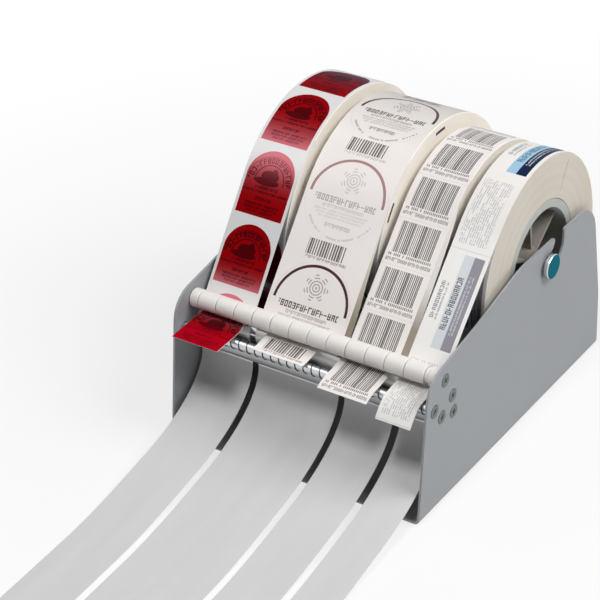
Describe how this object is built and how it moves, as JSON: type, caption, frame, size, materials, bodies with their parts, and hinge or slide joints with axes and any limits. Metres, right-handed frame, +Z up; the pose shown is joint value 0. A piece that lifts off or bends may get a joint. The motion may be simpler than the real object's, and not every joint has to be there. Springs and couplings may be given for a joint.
{
  "type": "label dispenser",
  "caption": "Manual desk dispenser for rolls of labels: folded grey housing, lift-out shaft, roller hold-down bar and peel rod, with liner strips running out in front.",
  "frame": {"origin": "centre of the housing base's underside", "axes": "+Z up, +Y from the front (where the labels come out) to the back, +X to the right seen from the front"},
  "size_m": [0.2084, 0.4713, 0.2004],
  "materials": {
    "housing_paint": "satin",
    "plain_steel": "satin",
    "bright_chrome": "polished",
    "roller_plastic": "satin",
    "holder_plastic": "satin",
    "core_board": "matte",
    "label_paper": "satin",
    "liner_paper": "satin"
  },
  "bodies": {
    "machine": {"housing": "housing_paint", "hold_down_rod": "plain_steel", "peel_rod": "bright_chrome", "spring_rod": "bright_chrome", "guide_rod_front": "plain_steel", "guide_rod_rear": "plain_steel", "wire_spring": "bright_chrome", "end_spacer_left": "roller_plastic", "end_spacer_right": "roller_plastic", "screw_1_left": "plain_steel", "screw_1_right": "plain_steel", "screw_2_left": "plain_steel", "screw_2_right": "plain_steel", "screw_3_left": "plain_steel", "screw_3_right": "plain_steel", "screw_4_left": "plain_steel", "screw_4_right": "plain_steel", "screw_5_left": "plain_steel", "screw_5_right": "plain_steel", "liner_strip_1": "liner_paper", "liner_strip_2": "liner_paper", "liner_strip_3": "liner_paper", "liner_strip_4": "liner_paper", "peeled_label_1": "label_paper", "peeled_label_2": "label_paper", "peeled_label_3": "label_paper", "peeled_label_4": "label_paper"},
    "shaft_body": {"shaft": "bright_chrome"},
    "roll_1": {"label_roll_1": "label_paper", "core_1": "core_board", "core_holder_1": "holder_plastic"},
    "roll_2": {"label_roll_2": "label_paper", "core_2": "core_board", "core_holder_2": "holder_plastic"},
    "roll_3": {"label_roll_3": "label_paper", "core_3": "core_board", "core_holder_3": "holder_plastic"},
    "roll_4": {"label_roll_4": "label_paper", "core_4": "core_board", "core_holder_4": "holder_plastic"},
    "roller_body_1": {"roller_1": "roller_plastic"},
    "roller_body_2": {"roller_2": "roller_plastic"},
    "roller_body_3": {"roller_3": "roller_plastic"},
    "roller_body_4": {"roller_4": "roller_plastic"},
    "roller_body_5": {"roller_5": "roller_plastic"},
    "roller_body_6": {"roller_6": "roller_plastic"},
    "roller_body_7": {"roller_7": "roller_plastic"},
    "roller_body_8": {"roller_8": "roller_plastic"},
    "roller_body_9": {"roller_9": "roller_plastic"},
    "roller_body_10": {"roller_10": "roller_plastic"},
    "roller_body_11": {"roller_11": "roller_plastic"},
    "roller_body_12": {"roller_12": "roller_plastic"}
  },
  "joints": [
    {"name": "shaft_lift", "type": "hinge", "parent": "machine", "child": "shaft_body", "pos_m": [0, 0.04245, 0.1264], "axis": [1, 0, 0], "range_deg": [0, 85]},
    {"name": "roll_spin_1", "type": "hinge", "parent": "shaft_body", "child": "roll_1", "pos_m": [-0.0739, 0.04245, 0.1092], "axis": [1, 0, 0], "continuous": true},
    {"name": "roll_spin_2", "type": "hinge", "parent": "shaft_body", "child": "roll_2", "pos_m": [-0.0158, 0.04245, 0.1092], "axis": [1, 0, 0], "continuous": true},
    {"name": "roll_spin_3", "type": "hinge", "parent": "shaft_body", "child": "roll_3", "pos_m": [0.03995, 0.04245, 0.1092], "axis": [1, 0, 0], "continuous": true},
    {"name": "roll_spin_4", "type": "hinge", "parent": "shaft_body", "child": "roll_4", "pos_m": [0.07894, 0.04245, 0.1092], "axis": [1, 0, 0], "continuous": true},
    {"name": "roller_spin_1", "type": "hinge", "parent": "machine", "child": "roller_body_1", "pos_m": [-0.08295, -0.09285, 0.0937], "axis": [1, 0, 0], "continuous": true},
    {"name": "roller_spin_2", "type": "hinge", "parent": "machine", "child": "roller_body_2", "pos_m": [-0.06825, -0.09285, 0.0937], "axis": [1, 0, 0], "continuous": true},
    {"name": "roller_spin_3", "type": "hinge", "parent": "machine", "child": "roller_body_3", "pos_m": [-0.05355, -0.09285, 0.0937], "axis": [1, 0, 0], "continuous": true},
    {"name": "roller_spin_4", "type": "hinge", "parent": "machine", "child": "roller_body_4", "pos_m": [-0.03885, -0.09285, 0.0937], "axis": [1, 0, 0], "continuous": true},
    {"name": "roller_spin_5", "type": "hinge", "parent": "machine", "child": "roller_body_5", "pos_m": [-0.02415, -0.09285, 0.0937], "axis": [1, 0, 0], "continuous": true},
    {"name": "roller_spin_6", "type": "hinge", "parent": "machine", "child": "roller_body_6", "pos_m": [-0.00945, -0.09285, 0.0937], "axis": [1, 0, 0], "continuous": true},
    {"name": "roller_spin_7", "type": "hinge", "parent": "machine", "child": "roller_body_7", "pos_m": [0.00525, -0.09285, 0.0937], "axis": [1, 0, 0], "continuous": true},
    {"name": "roller_spin_8", "type": "hinge", "parent": "machine", "child": "roller_body_8", "pos_m": [0.01995, -0.09285, 0.0937], "axis": [1, 0, 0], "continuous": true},
    {"name": "roller_spin_9", "type": "hinge", "parent": "machine", "child": "roller_body_9", "pos_m": [0.03465, -0.09285, 0.0937], "axis": [1, 0, 0], "continuous": true},
    {"name": "roller_spin_10", "type": "hinge", "parent": "machine", "child": "roller_body_10", "pos_m": [0.04935, -0.09285, 0.0937], "axis": [1, 0, 0], "continuous": true},
    {"name": "roller_spin_11", "type": "hinge", "parent": "machine", "child": "roller_body_11", "pos_m": [0.06405, -0.09285, 0.0937], "axis": [1, 0, 0], "continuous": true},
    {"name": "roller_spin_12", "type": "hinge", "parent": "machine", "child": "roller_body_12", "pos_m": [0.07875, -0.09285, 0.0937], "axis": [1, 0, 0], "continuous": true}
  ]
}
